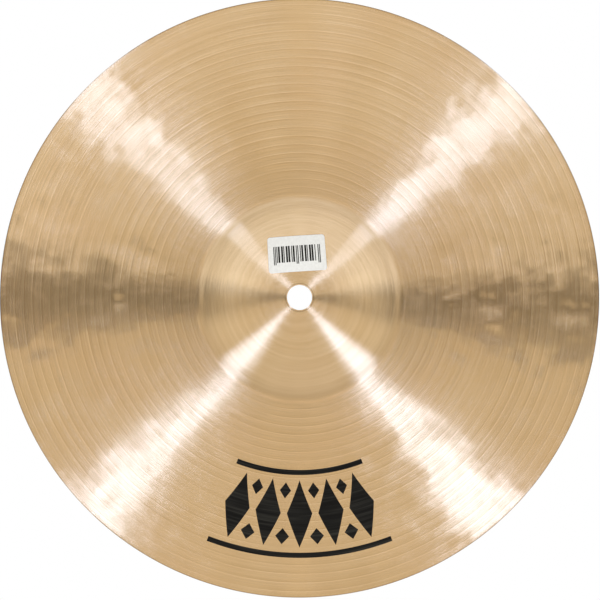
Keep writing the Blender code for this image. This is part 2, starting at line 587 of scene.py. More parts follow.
@dataclass(frozen=True)
class PrintInk:
    """Black ink, with faint grey lines along the turning marks painted into its colour as the sheen of the
    grooves under it.
    """

    name: str
    black: Colour = (0.005, 0.0045, 0.0035)
    # Painted sheen: the grey of the grooves' glint through the ink
    painted_sheen: Colour = (0.030, 0.028, 0.023)
    sheen_rise: Span = (0.42, 0.72)
    roughness: float = 0.42
    roughness_spread: float = 0.2
    gloss: float = 0.1
    line_pitch: float = 0.0011
    line_wander: float = 2.0
    line_depth: float = 0.00001
    line_strength: float = 0.6
    broad_pitch: float = 0.006
    broad_wander: float = 3.0
    broad_share: float = 0.3

    def material(self) -> bpy.types.Material:
        """The finish as a material.

        Returns:
            The new material.
        """
        material = bpy.data.materials.new(self.name)
        nodes = NodeTree(material)
        spot = AroundTheAxis.of(nodes)
        lines = spot.rings(self.line_pitch, self.line_wander, detail=3.0, rough=0.65)
        broad = spot.rings(self.broad_pitch, self.broad_wander)
        # Painted sheen: grey lines where the grooves under the ink catch the light
        sheen_share = nodes.ramp(lines * (1 - self.broad_share) + broad * self.broad_share, *self.sheen_rise)
        nodes.surface(
            {
                "Base Color": nodes.blend(sheen_share, self.black, self.painted_sheen),
                "Roughness": self.roughness + (lines - 0.5) * self.roughness_spread,
                "Specular IOR Level": self.gloss,
                "Normal": nodes.bump(lines, self.line_depth, self.line_strength),
            }
        )
        return material


@dataclass(frozen=True)
class Arc:
    """A stretch of the metal's middle line, whose slope is 0 where it is level and more where it falls."""

    centre_r: float
    centre_z: float
    radius: float
    slope_in: float
    slope_out: float

    @property
    def length(self) -> float:
        """The stretch's own length."""
        return abs(self.radius * (self.slope_out - self.slope_in))

    def at(self, share: float) -> tuple[float, float, float]:
        """A point of the stretch.

        Args:
            share: how far along it is, 0 to 1.

        Returns:
            Its distance from the axis, its height and its slope.
        """
        slope = self.slope_in + share * (self.slope_out - self.slope_in)
        return (
            self.centre_r + self.radius * math.sin(slope),
            self.centre_z + self.radius * math.cos(slope),
            slope,
        )


@dataclass(frozen=True)
class MetalSection:
    """The section that the casting is turned to, from the hole to the edge."""

    diameter: float
    bow_height: float = 0.0135
    bell_diameter: float = 0.1020
    bell_height: float = 0.0140
    cove_radius: float = 0.0090
    shoulder_radius: float = 0.0400
    crown_flat: float = 0.0240
    hole_diameter: float = 0.0130
    hole_chamfer: float = 0.00015
    bell_thickness: float = 0.00092
    bow_thickness: float = 0.00077
    edge_thickness: float = 0.00052
    edge_land: float = 0.0005
    edge_chamfer: float = 0.0001
    samples: int = 1500

    def arcs(self) -> list[Arc]:
        """The middle line from the rim of the crown's flat to the edge's land.

        Returns:
            The shoulder, the bell, the cove and the bow.
        """
        foot, edge, flat = self.bell_diameter / 2, self.diameter / 2, self.crown_flat / 2

        # The bow's centre, from its height over the edge
        bow_z = (foot**2 + self.bow_height**2 - edge**2) / (2 * self.bow_height)
        bow_radius = math.hypot(edge, bow_z)

        # The bell's centre, from the shoulder that it touches and the foot that it passes through
        shoulder = self.shoulder_radius
        lift = self.bell_height - shoulder
        base = (shoulder**2 + foot**2 - flat**2 - lift**2) / (2 * shoulder)
        gain = -lift / shoulder
        square, middle, last = 1 - gain**2, -2 * base * gain, foot**2 - base**2
        depth = (-middle + math.sqrt(middle**2 - 4 * square * last)) / (2 * square)
        bell_z, bell_radius = self.bow_height - depth, base + gain * depth
        shoulder_z = self.bow_height + lift
        shoulder_slope = math.atan2(flat, shoulder_z - bell_z)

        # The cove's centre, its own radius off the bell and off the bow
        to_bell, to_bow = bell_radius + self.cove_radius, bow_radius + self.cove_radius
        cove_z = (to_bell**2 - to_bow**2 - bell_z**2 + bow_z**2) / (2 * (bow_z - bell_z))
        cove_r = math.sqrt(to_bell**2 - (cove_z - bell_z) ** 2)
        bell_slope = math.atan2(cove_r, cove_z - bell_z)
        bow_slope = math.atan2(cove_r, cove_z - bow_z)
        land_slope = math.asin((edge - self.edge_chamfer - self.edge_land) / bow_radius)
        return [
            Arc(flat, shoulder_z, shoulder, 0.0, shoulder_slope),
            Arc(0.0, bell_z, bell_radius, shoulder_slope, bell_slope),
            Arc(cove_r, cove_z, -self.cove_radius, bell_slope, bow_slope),
            Arc(0.0, bow_z, bow_radius, bow_slope, land_slope),
        ]

    def thickness(self, radius: np.ndarray) -> np.ndarray:
        """The metal's thickness.

        Args:
            radius: distances from the axis.

        Returns:
            The thickness at each, metres.
        """
        foot = self.bell_diameter / 2
        places = (foot - self.cove_radius, foot + self.cove_radius, self.diameter / 2)
        return np.interp(radius, places, (self.bell_thickness, self.bow_thickness, self.edge_thickness))

    def length(self) -> float:
        """Distance over the metal from the axis to the edge's land."""
        return self.crown_flat / 2 + sum(arc.length for arc in self.arcs())

    def middle(self, distances: np.ndarray) -> tuple[np.ndarray, np.ndarray, np.ndarray]:
        """Points of the middle line.

        Args:
            distances: how far they are from the axis, measured over the metal.

        Returns:
            Their radii, their heights over the plane that the edge rests on, and their slopes.
        """
        arcs = self.arcs()
        end_r, end_z, end_slope = arcs[-1].at(1.0)
        lift = float(self.thickness(end_r)) / 2 * math.cos(end_slope) - end_z
        points = []
        for distance in distances:
            point = (distance, self.bow_height + self.bell_height, 0.0)
            left = distance - self.crown_flat / 2
            for arc in arcs:
                if left > 0:
                    point = arc.at(min(left / arc.length, 1.0))
                    left -= arc.length
            points.append(point)
        radii, heights, slopes = np.array(points).T
        return radii, heights + lift, slopes

    def table(self) -> tuple[np.ndarray, np.ndarray, np.ndarray, np.ndarray]:
        """The middle line at even distances: the distances, radii, heights and slopes."""
        distances = np.linspace(0.0, self.length(), self.samples)
        return distances, *self.middle(distances)


def rise(values: np.ndarray, start: float, width: float) -> np.ndarray:
    """0 up to a start, then a straight rise to 1 over a width."""
    return np.clip((values - start) / width, 0, 1)


@dataclass
class HammerMarks:
    """The marks of the hammer that turning leaves in the metal, as a height over its true shape.

    They get deeper towards the frame's X axis, from where the cosine of their bearing passes worked_from.
    """

    section: MetalSection
    row_pitch: float = 0.0095
    mark_pitch: float = 0.0130
    jitter: float = 0.4
    inner_radius: float = 0.060
    outer_radius: float = 0.146
    inner_ease: float = 0.018
    outer_margin: float = 0.001
    outer_ease: float = 0.006
    depth: float = 0.000120
    depths: Span = (-0.8, 1.0)
    sizes: Span = (0.7, 1.9)
    worked_least: float = 0.22
    worked_from: float = 0.84
    worked_ease: float = 0.13
    across: float = 0.0036
    along: float = 0.0027
    seed: int = 12
    marks: np.ndarray = field(init=False)

    def __post_init__(self) -> None:
        """Places the marks in rows round the axis."""
        chance = np.random.default_rng(self.seed)
        rows = []
        for radius in np.arange(self.inner_radius, self.outer_radius, self.row_pitch):
            count = int(FULL_TURN * radius / self.mark_pitch)
            turns = np.arange(count) + chance.uniform(-self.jitter, self.jitter, count)
            bearings = turns * FULL_TURN / count + chance.uniform(0, FULL_TURN)
            band = rise(np.abs(np.cos(bearings)), self.worked_from, self.worked_ease)
            worked = self.worked_least + (1 - self.worked_least) * band
            radii = radius + chance.uniform(-self.jitter, self.jitter, count) * self.row_pitch
            sizes = chance.uniform(*self.sizes, count)
            depths = self.depth * worked * sizes * chance.uniform(*self.depths, count) ** 3
            rows.append(np.stack([radii * np.cos(bearings), radii * np.sin(bearings), depths, sizes], 1))
        self.marks = np.concatenate(rows)

    def height(self, x: np.ndarray, y: np.ndarray) -> np.ndarray:
        """The marks' height over the true shape.

        Args:
            x: places along the frame's X.
            y: places along its Y.

        Returns:
            The height at each place, metres.
        """
        total = np.zeros_like(x)
        for mark_x, mark_y, depth, size in self.marks:
            mark_radius = math.hypot(mark_x, mark_y)
            east, south = mark_x / mark_radius, mark_y / mark_radius
            out = (x - mark_x) * east + (y - mark_y) * south
            round_it = (y - mark_y) * east - (x - mark_x) * south
            reach = (out / self.across) ** 2 + (round_it / self.along) ** 2
            total -= depth * np.exp(-reach / (2 * size**2))
        radius = np.hypot(x, y)
        fade_in = rise(radius, self.inner_radius, self.inner_ease)
        fade_out = rise(self.section.diameter / 2 - radius, self.outer_margin, self.outer_ease)
        return total * fade_in * fade_out


def grid_between(corners: Sequence[Corner], steps: tuple[int, int]) -> np.ndarray:
    """A grid of points stretched between four corners.

    Args:
        corners: the corners in turn.
        steps: how many steps the grid has along its first and its second side.

    Returns:
        The points, by row and column.
    """
    first, second, third, fourth = (np.array(corner) for corner in corners)
    shares = (np.linspace(0, 1, count + 1) for count in steps)
    along, across = (share[..., None] for share in np.meshgrid(*shares, indexing="ij"))
    near = first * (1 - along) + second * along
    far = fourth * (1 - along) + third * along
    return near * (1 - across) + far * across


def slab_mesh(name: str, grids: Sequence[np.ndarray], place: Placer, faces_at: Span) -> bpy.types.Mesh:
    """Thin closed solids, each over a grid of points.

    Args:
        name: the mesh's name.
        grids: grids of flat points, by row and column.
        place: gives the place of flat points at a height over what they lie on.
        faces_at: the heights of the two faces.

    Returns:
        The mesh of all the solids.
    """
    shape = bmesh.new()
    for grid in grids:
        rows, columns = grid.shape[:2]
        layers = []
        for height in faces_at:
            places = place(grid.reshape(-1, 2), height)
            layers.append([shape.verts.new(point) for point in places])
        rim = [(0, column) for column in range(columns)]
        rim += [(row, columns - 1) for row in range(1, rows)]
        rim += [(rows - 1, column) for column in range(columns - 2, -1, -1)]
        rim += [(row, 0) for row in range(rows - 2, 0, -1)]
        rim = [row * columns + column for row, column in rim]
        for layer in layers:
            for row in range(rows - 1):
                for column in range(columns - 1):
                    corner = row * columns + column
                    around = (corner, corner + 1, corner + columns + 1, corner + columns)
                    shape.faces.new([layer[index] for index in around])
        for index, after in zip(rim, rim[1:] + rim[:1]):
            shape.faces.new((layers[0][index], layers[0][after], layers[1][after], layers[1][index]))
    bmesh.ops.recalc_face_normals(shape, faces=shape.faces)
    mesh = bpy.data.meshes.new(name)
    shape.to_mesh(mesh)
    shape.free()
    mesh.shade_smooth()
    mesh.set_sharp_from_angle(angle=SLAB_SHARP_ANGLE)
    return mesh


def dressed(name: str, mesh: bpy.types.Mesh, material: bpy.types.Material) -> bpy.types.Object:
    """A new object that rides on the part's one body.

    Args:
        name: its name.
        mesh: its mesh.
        material: its material.

    Returns:
        The object.
    """
    mesh.materials.append(material)
    piece = bpy.data.objects.new(name, mesh)
    bpy.context.scene.collection.objects.link(piece)
    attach(piece, ROOT_BODY)
    return piece


@dataclass
class Cymbal:
    """The casting, as one closed mesh with its hammer marks and turning waves.

    Each drift of the waves is its size, how many lobes it has round the axis, where it starts and how it
    turns with each metre from the axis. The waves end at a margin from the edge and from the axis.
    """

    section: MetalSection
    hammer: HammerMarks
    finish: LathedBronze = LathedBronze()
    sectors: int = 360
    ring_pitch: float = 0.00115
    wave_pitch: float = 0.0044
    wave_height: float = 0.000006
    wave_drifts: tuple[tuple[float, int, float, float], ...] = ((0.9, 3, 1.0, 0.0), (0.6, 7, 0.0, 140.0))
    edge_margin: float = 0.001
    edge_ease: float = 0.004
    hole_margin: float = 0.016
    hole_ease: float = 0.010
    rounding_steps: int = 3
    sharp_angle: float = math.radians(50.0)

    def relief(self, radii: np.ndarray, bearings: np.ndarray, side: np.ndarray) -> np.ndarray:
        """Height of the marks and waves over the true shape, along the metal's upward normal.

        Args:
            radii: distances from the axis.
            bearings: bearings round it, radians.
            side: 1 on the top, -1 on the underside and 0 on the edge and in the hole.

        Returns:
            The height at each place, metres.
        """
        marks = self.hammer.height(radii * np.cos(bearings), radii * np.sin(bearings))
        phase = FULL_TURN * radii / self.wave_pitch
        for size, lobes, start, twist in self.wave_drifts:
            phase = phase + size * np.sin(lobes * bearings + start + twist * radii)
        inside = rise(self.section.diameter / 2 - radii, self.edge_margin, self.edge_ease)
        inside = inside * rise(radii, self.hole_margin, self.hole_ease)
        return marks * np.abs(side) + self.wave_height * np.sin(phase) * side * inside

    def under(self, places: np.ndarray, depth: float) -> np.ndarray:
        """Places just under the metal.

        Args:
            places: bearings and distances from the axis, one pair a row.
            depth: how far under the metal they are, metres.

        Returns:
            The places, one a row.
        """
        bearings, radii = places.T
        _, line_r, line_z, line_slope = self.section.table()
        half = self.section.thickness(line_r) / 2
        under_r, under_z = line_r - half * np.sin(line_slope), line_z - half * np.cos(line_slope)
        slope = np.interp(radii, under_r, line_slope)
        lift = self.relief(radii, bearings, -np.ones_like(radii)) - depth
        out = radii + lift * np.sin(slope)
        height = np.interp(radii, under_r, under_z) + lift * np.cos(slope)
        return np.stack([out * np.cos(bearings), out * np.sin(bearings), height], 1)

    def rings(self) -> np.ndarray:
        """The closed section, out along the top and back along the underside.

        Returns:
            For each ring its radius, its height, its normal in two numbers, and its side.
        """
        section = self.section
        first, last = section.hole_diameter / 2 + section.hole_chamfer, section.length()
        distances = np.linspace(first, last, round((last - first) / self.ring_pitch) + 1)
        radii, heights, slopes = section.middle(distances)
        half = section.thickness(radii) / 2
        up_r, up_z = np.sin(slopes), np.cos(slopes)
        ones = np.ones_like(radii)
        top = np.stack([radii + half * up_r, heights + half * up_z, up_r, up_z, ones], 1)
        under = np.stack([radii - half * up_r, heights - half * up_z, up_r, up_z, -ones], 1)
        edge, hole = self.rim(top[-1], slopes[-1]), self.bore(under[0], top[0])
        return np.concatenate([top, edge, under[::-1], hole])

    def rim(self, top_end: np.ndarray, slope: float) -> np.ndarray:
        """The turned edge, rounded from the top round to the land.

        Args:
            top_end: the last ring of the top.
            slope: the metal's slope there.

        Returns:
            The edge's rings.
        """
        edge, chamfer = self.section.diameter / 2, self.section.edge_chamfer
        upper = top_end[1] - (edge - chamfer - top_end[0]) * math.tan(slope)
        rings = []
        for centre_z, start in ((upper - chamfer, 0.0), (chamfer, 90.0)):
            for step in range(self.rounding_steps + 1):
                turn = math.radians(start + 90.0 * step / self.rounding_steps)
                out, up = chamfer * math.sin(turn), chamfer * math.cos(turn)
                rings.append((edge - chamfer + out, centre_z + up, 0.0, 1.0, 0.0))
        return np.array(rings)

    def bore(self, under_end: np.ndarray, top_end: np.ndarray) -> np.ndarray:
        """The wall of the hole, from the underside to the top.

        Args:
            under_end: the ring of the underside at the hole.
            top_end: the ring of the top there.

        Returns:
            The wall's rings.
        """
        wall, chamfer = self.section.hole_diameter / 2, self.section.hole_chamfer
        heights = (under_end[1] + chamfer, top_end[1] - chamfer)
        return np.array([(wall, height, 0.0, 1.0, 0.0) for height in heights])

    def build(self) -> bpy.types.Object:
        """Makes the mesh, dresses it and puts it in the place of the CAD node.

        Returns:
            The cymbal.
        """
        rings = self.rings()
        count = len(rings)
        bearings = np.arange(self.sectors) * FULL_TURN / self.sectors
        radii = np.repeat(rings[:, :1], self.sectors, 1)
        turns = np.repeat(bearings[None, :], count, 0)
        side = np.repeat(rings[:, 4:5], self.sectors, 1)
        relief = self.relief(radii, turns, side)
        out = radii + relief * rings[:, 2:3]
        height = rings[:, 1:2] + relief * rings[:, 3:4]
        places = np.stack([out * np.cos(turns), out * np.sin(turns), height], 2).reshape(-1, 3)

        ring, sector = np.meshgrid(np.arange(count), np.arange(self.sectors), indexing="ij")
        after, beyond = (ring + 1) % count, (sector + 1) % self.sectors
        corners = [(ring, sector), (after, sector), (after, beyond), (ring, beyond)]
        faces = np.stack([a * self.sectors + b for a, b in corners], 2).reshape(-1, 4)

        mesh = bpy.data.meshes.new("cymbal_metal")
        mesh.from_pydata(places.tolist(), [], faces.tolist())
        mesh.shade_smooth()
        mesh.set_sharp_from_angle(angle=self.sharp_angle)
        metal = dressed("cymbal_metal", mesh, self.finish.material())
        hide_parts("cymbal")
        marks = len(self.hammer.marks)
        LOG.info("cymbal: %d rings of %d points, %d hammer marks", count, self.sectors, marks)
        return metal


@dataclass
class BellLabel:
    """The paper label stuck inside the bell, with a plain pattern of bars and no writing."""

    section: MetalSection
    paper: LabelPaper = LabelPaper()
    ink: PrintInk = PrintInk("label_ink", roughness=0.5)
    width: float = 0.0304
    height: float = 0.0194
    corner_radius: float = 0.0015
    across: float = -0.0014
    from_axis: float = 0.0232
    turn: float = math.radians(-3.8)
    gap: float = 0.00012
    thickness: float = 0.00015
    ink_gap: float = 0.000005
    ink_thickness: float = 0.000012
    columns: int = 48
    rows: int = 32
    corner_rows: int = 6
    bar_module: float = 0.00041
    bar_spread: float = 1.15
    bar_field: float = 0.0246
    bar_height: float = 0.0088
    bar_steps: int = 10
    guard_extra: float = 0.0011

    def outline(self) -> np.ndarray:
        """The flat label as a grid whose outer rows follow the rounded corners.

        Returns:
            The grid's points, by row and column.
        """
        straight_x, straight_y = self.width / 2 - self.corner_radius, self.height / 2 - self.corner_radius
        turns = np.linspace(math.pi / 2, 0, self.corner_rows + 1)
        half_widths = straight_x + self.corner_radius * np.cos(turns)
        heights = straight_y + self.corner_radius * np.sin(turns)
        middle = np.linspace(straight_y, -straight_y, self.rows + 1)[1:-1]
        half_widths = np.concatenate([half_widths, np.full(len(middle), self.width / 2), half_widths[::-1]])
        heights = np.concatenate([heights, middle, -heights[::-1]])
        shares = np.linspace(-1, 1, self.columns + 1)
        x = half_widths[:, None] * shares[None, :]
        return np.stack([x, np.repeat(heights[:, None], self.columns + 1, 1)], 2)

    def drape(self, flat: np.ndarray, height: float) -> np.ndarray:
        """Lays flat points under the bell, keeping their distance from the axis over the metal.

        Args:
            flat: points of the flat label, one a row.
            height: how far they stand off the paper's back, metres.

        Returns:
            Their places, one a row.
        """
        cosine, sine = math.cos(self.turn), math.sin(self.turn)
        x = self.across + flat[:, 0] * cosine - flat[:, 1] * sine
        y = -self.from_axis + flat[:, 0] * sine + flat[:, 1] * cosine
        distance = np.hypot(x, y)
        at, radii, heights, slopes = self.section.table()
        radius, middle_z, slope = (np.interp(distance, at, line) for line in (radii, heights, slopes))
        below = self.section.thickness(radius) / 2 + self.gap + height
        out = radius - below * np.sin(slope)
        return np.stack([x * out / distance, y * out / distance, middle_z - below * np.cos(slope)], 1)

    def bars(self) -> list[np.ndarray]:
        """The bars, one or two modules wide, with two long ones at either end and in the middle.

        Returns:
            A grid for each bar.
        """
        modules = round(self.bar_field / self.bar_module)
        half = modules // 2
        guards = (0, 2, half - 1, half + 1, modules - 3, modules - 1)
        spans = [(guard, 1) for guard in guards]
        for start, end in ((4, half - 3), (half + 4, modules - 5)):
            place, index = start, 0
            while place < end:
                wide = min(1 + (index * index) % 3, end - place)
                spans.append((place, wide))
                place += wide + 1 + index % 2
                index += 1
        grids = []
        for first, wide in spans:
            left = first * self.bar_module - self.bar_field / 2
            right = left + wide * self.bar_module * self.bar_spread
            bottom = -self.bar_height / 2
            top = self.bar_height / 2 + (self.guard_extra if first in guards else 0.0)
            corners = [(left, top), (right, top), (right, bottom), (left, bottom)]
            grids.append(grid_between(corners, (1, self.bar_steps)))
        return grids

    def build(self) -> None:
        """Makes the paper, in the place of its CAD node, and its bars."""
        sheet = slab_mesh("bell_label", [self.outline()], self.drape, (0.0, self.thickness))
        label = dressed("bell_label", sheet, self.paper.material())
        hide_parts("label")
        printed = (self.thickness + self.ink_gap, self.thickness + self.ink_gap + self.ink_thickness)
        grids = self.bars()
        bars = slab_mesh("label_bars", grids, self.drape, printed)
        dressed("label_bars", bars, self.ink.material())
        LOG.info("label: %d bars", len(grids))


@dataclass
class PrintedBand:
    """A plain printed band of lozenges between two rules, on the underside opposite the label.

    The small lozenges' place and half-diagonals are shares of the room and the pitch of the large ones.
    The side gap is an angle in radians.
    """

    cymbal: Cymbal
    ink: PrintInk = PrintInk("band_ink")
    bearing: float = math.radians(90.0)
    inner_radius: float = 0.0880
    outer_radius: float = 0.1325
    half_angle: float = math.radians(21.0)
    rule_width: float = 0.0026
    lozenges: int = 5
    lozenge_gap: float = 0.0026
    side_gap: float = 0.014
    small_place: float = 0.68
    small_width: float = 0.20
    small_height: float = 0.24
    gap: float = 0.000035
    thickness: float = 0.000015
    fine_step: float = 0.0016
    fewest_steps: int = 2

    def patch(self, corners: Sequence[Corner]) -> np.ndarray:
        """A stretch of the underside.

        Args:
            corners: its corners, as angles from the band's middle and distances from the axis.

        Returns:
            A grid of bearings and distances.
        """
        angles, radii = zip(*corners)
        reach = self.outer_radius * (max(angles) - min(angles)), max(radii) - min(radii)
        steps = max(self.fewest_steps, math.ceil(max(reach) / self.fine_step))
        is_rule = len(set(angles)) == 2
        grid = grid_between(corners, (steps, self.fewest_steps if is_rule else steps))
        return grid + np.array([self.bearing, 0.0])

    def rule(self, radius: float) -> np.ndarray:
        """One of the two curved rules, by its inner radius."""
        outer, wide = radius + self.rule_width, self.half_angle
        return self.patch([(-wide, radius), (wide, radius), (wide, outer), (-wide, outer)])

    def lozenge(self, angle: float, radius: float, half_angle: float, half_height: float) -> np.ndarray:
        """One lozenge, by its centre and half its two diagonals."""
        low, high = (angle, radius - half_height), (angle, radius + half_height)
        return self.patch([(angle - half_angle, radius), low, (angle + half_angle, radius), high])

    def build(self) -> None:
        """Makes the band as a thin layer under the metal."""
        middle = (self.inner_radius + self.outer_radius) / 2
        room = (self.outer_radius - self.inner_radius) / 2 - self.rule_width - self.lozenge_gap
        pitch = 2 * self.half_angle / self.lozenges
        grids = [self.rule(self.inner_radius), self.rule(self.outer_radius - self.rule_width)]
        for index in range(self.lozenges):
            angle = (index - (self.lozenges - 1) / 2) * pitch
            grids.append(self.lozenge(angle, middle, pitch / 2 - self.side_gap, room))
        for index in range(self.lozenges - 1):
            angle = (index - (self.lozenges - 2) / 2) * pitch
            for side in (-1, 1):
                radius = middle + side * room * self.small_place
                small = self.lozenge(angle, radius, pitch * self.small_width, room * self.small_height)
                grids.append(small)
        mesh = slab_mesh("printed_band", grids, self.cymbal.under, (self.gap, self.gap + self.thickness))
        dressed("printed_band", mesh, self.ink.material())
        LOG.info("printed band: %d shapes", len(grids))


@dataclass(frozen=True)
class MirroredPart:
    """The part of the surround that a mirrored ray meets, by the sine of its angle off the axis.

    The bow mirrors near and far, the bell mirrors outer, and the bell's steep foot mirrors foot.
    """

    nodes: NodeTree
    direction: Socket
    east: Socket
    south: Socket
    off_axis: Socket
    near: Socket
    far: Socket
    outer: Socket
    foot: Socket
    horizon: Socket


@dataclass(frozen=True)
class Wedge:
    """A stretch of the surround, out from the axis at one bearing: a soft box or a dark flank.

    The metal mirrors a soft box as a bright arm and a flank as a dark band. The bow mirrors the part near
    the axis and the bell the part further out, so each has its own values.
    Nearest the axis, where the bow's inmost metal mirrors it, the wedge may turn and narrow. Angles are in
    degrees.
    """

    bearing: float
    strength: float
    half_width: float
    bell_strength: float
    bell_half_width: float
    bell_softness: float
    bell_turn: float
    near_turn: float
    near_narrowing: float = 0.0
    softness: float = 1.2

    def light(self, at: MirroredPart, bell: Socket) -> Socket:
        """The wedge's strength by direction, which is light in a soft box and shade in a flank.

        Args:
            at: the part of the surround.
            bell: 0 where the bow's values hold, 1 where the bell's do.

        Returns:
            The wedge's strength, 0 outside it.
        """
        nodes, turn = at.nodes, math.radians(self.bearing)
        out, beside = (math.cos(turn), math.sin(turn), 0.0), (-math.sin(turn), math.cos(turn), 0.0)
        along = nodes.vector("DOT_PRODUCT", at.direction, out, result="Value")
        across = nodes.vector("DOT_PRODUCT", at.direction, beside, result="Value")
        angle = nodes.maths("ARCTAN2", across, along) * math.degrees(1.0)
        angle = abs(angle - bell * self.bell_turn - at.near * self.near_turn)
        wide = self.half_width + bell * (self.bell_half_width - self.half_width)
        wide = wide - at.near * self.near_narrowing
        soft = self.softness + bell * (self.bell_softness - self.softness)
        strength = self.strength + bell * (self.bell_strength - self.strength)
        return (1 - nodes.ramp(angle, wide - soft, wide + soft)) * strength


@dataclass(frozen=True)
class MirroredSurround:
    """What the metal mirrors: a warm room, four long soft boxes and two dark flanks.

    A rise or a fall is a pair of values, where a change begins and where it ends. They are sines of the
    angle off the axis, or how far a direction points west, north or south. East is +X and south is +Y.
    """

    warm: Colour = (0.860, 0.768, 0.607)
    pale: Colour = (0.843, 0.784, 0.666)
    cool: Colour = (1.02, 1.42, 2.55)
    glow: Colour = (1.08, 1.11, 1.16)

    # Parts of the surround
    near_fall: Span = (0.14, 0.27)
    far_rise: Span = (0.24, 0.34)
    outer_rise: Span = (0.40, 0.56)
    foot_rise: Span = (0.62, 0.92)
    horizon_fall: Span = (0.35, 0.75)
    horizon_scale_below: float = 1.75

    # Soft boxes
    boxes: tuple[Wedge, ...] = (
        Wedge(
            bearing=-41.6, strength=1.08, half_width=6.2, near_turn=0.2, near_narrowing=1.6,
            bell_strength=0.70, bell_half_width=8.0, bell_softness=6.5, bell_turn=-4.9,
        ),
        Wedge(
            bearing=-135.8, strength=1.11, half_width=6.7, near_turn=-0.8, near_narrowing=1.2,
            bell_strength=0.70, bell_half_width=8.2, bell_softness=6.5, bell_turn=2.0,
        ),
        Wedge(
            bearing=47.9, strength=0.77, half_width=5.6, near_turn=3.3, near_narrowing=2.2,
            bell_strength=0.0, bell_half_width=6.0, bell_softness=3.5, bell_turn=-0.7,
        ),
        Wedge(
            bearing=132.9, strength=0.82, half_width=5.4, near_turn=-4.7, near_narrowing=1.2,
            bell_strength=0.0, bell_half_width=6.0, bell_softness=3.5, bell_turn=3.0,
        ),
    )
    box_foot_loss: float = 0.75
    box_foot_rise: Span = (0.74, 0.94)
    box_rise: Span = (0.00, 0.09)
    box_near_gain: float = 0.70
    box_far_loss: float = 0.15
    box_horizon_loss: float = 0.8

    # Dark flanks
    flags: tuple[Wedge, ...] = (
        Wedge(
            bearing=5.3, strength=0.72, half_width=9.0, softness=4.5, near_turn=6.3,
            bell_strength=0.14, bell_half_width=15.5, bell_softness=9.0, bell_turn=-11.0,
        ),
        Wedge(
            bearing=178.3, strength=0.73, half_width=9.0, softness=4.5, near_turn=-7.4,
            bell_strength=0.12, bell_half_width=15.5, bell_softness=9.0, bell_turn=8.5,
        ),
    )
    flag_foot_loss: float = 0.7
    flag_far_loss: float = 0.10

    # The room's own light
    south_gain: float = 0.06
    centre_loss: float = 0.34
    centre_fall: Span = (0.08, 0.30)
    bell_gain: float = 0.12
    bell_side_loss: float = 1.6
    bell_side_rise: Span = (0.2, 0.5)
    north_rise: Span = (0.05, 0.18)
    north_gain: float = 0.32
    north_far_loss: float = 0.50
    north_far_rise: Span = (0.20, 0.34)
    north_bell_gain: float = 0.14
    foot_loss: float = 0.04
    foot_south_loss: float = 0.10
    foot_south_rise: Span = (-0.2, 0.2)
    foot_loss_rise: Span = (0.74, 0.90)
    horizon_loss: float = 0.30
    corner_loss: float = 0.09
    corner_west_rise: Span = (0.08, 0.22)
    corner_south_rise: Span = (-0.02, 0.10)
    glow_rise: Span = (0.0, 0.16)
    glow_foot_loss: float = 0.8

    def part(self, nodes: NodeTree) -> MirroredPart:
        """Tells the parts of the surround apart.

        Args:
            nodes: the world's nodes.

        Returns:
            The part that the ray meets.
        """
        direction = nodes.out(nodes.add("ShaderNodeTexCoord"), "Generated")
        east, south, up = nodes.split(direction)
        level = nodes.vector("MULTIPLY", direction, (1.0, 1.0, 0.0))
        off_axis = nodes.vector("LENGTH", level, result="Value")
        outer = nodes.ramp(off_axis, *self.outer_rise)
        steep = nodes.maths("MAXIMUM", up, up * -self.horizon_scale_below)
        return MirroredPart(
            nodes=nodes,
            direction=direction,
            east=east,
            south=south,
            off_axis=off_axis,
            near=1 - nodes.ramp(off_axis, *self.near_fall),
            far=nodes.ramp(off_axis, *self.far_rise) * (1 - outer),
            outer=outer,
            foot=nodes.ramp(off_axis, *self.foot_rise),
            horizon=1 - nodes.ramp(steep, *self.horizon_fall),
        )

    def box_light(self, at: MirroredPart) -> Socket:
        """The soft boxes, brightest near the axis and faded where the bell's foot mirrors them.

        Args:
            at: the part of the surround.

        Returns:
            Their strength.
        """
        nodes, off_axis = at.nodes, at.off_axis
        bell = at.outer * (1 - self.box_foot_loss * nodes.ramp(off_axis, *self.box_foot_rise))
        lit = sum(box.light(at, bell) for box in self.boxes) * nodes.ramp(off_axis, *self.box_rise)
        lit = lit * (1 + self.box_near_gain * at.near - self.box_far_loss * at.far)
        return lit * (1 - self.box_horizon_loss * at.horizon)

    def room_light(self, at: MirroredPart) -> Socket:
        """The room's own light, less the dark flanks.

        Args:
            at: the part of the surround.

        Returns:
            Its strength.
        """
        nodes, south, off_axis = at.nodes, at.south, at.off_axis
        bell = at.outer * (1 - self.flag_foot_loss * at.foot)
        shade = sum(flag.light(at, bell) for flag in self.flags) * (1 - self.flag_far_loss * at.far)
        centre = 1 - nodes.ramp(off_axis, *self.centre_fall)
        light = (1 + self.south_gain * south) * (1 - shade) * (1 - self.centre_loss * centre)
        beside = 1 - self.bell_side_loss * nodes.ramp(abs(south), *self.bell_side_rise)
        light = light * (1 + self.bell_gain * at.outer * beside * (1 - at.foot))
        north = self.north_gain - self.north_far_loss * nodes.ramp(off_axis, *self.north_far_rise)
        north = nodes.ramp(0.0 - south, *self.north_rise) * (north + self.north_bell_gain * at.outer)
        light = light * (1 + north)
        foot = self.foot_loss + self.foot_south_loss * nodes.ramp(south, *self.foot_south_rise)
        light = light * (1 - foot * nodes.ramp(off_axis, *self.foot_loss_rise))
        light = light * (1 - self.horizon_loss * at.horizon)
        corner = nodes.ramp(0.0 - at.east, *self.corner_west_rise)
        corner = corner * nodes.ramp(south, *self.corner_south_rise) * (1 - at.outer)
        return light * (1 - self.corner_loss * corner)

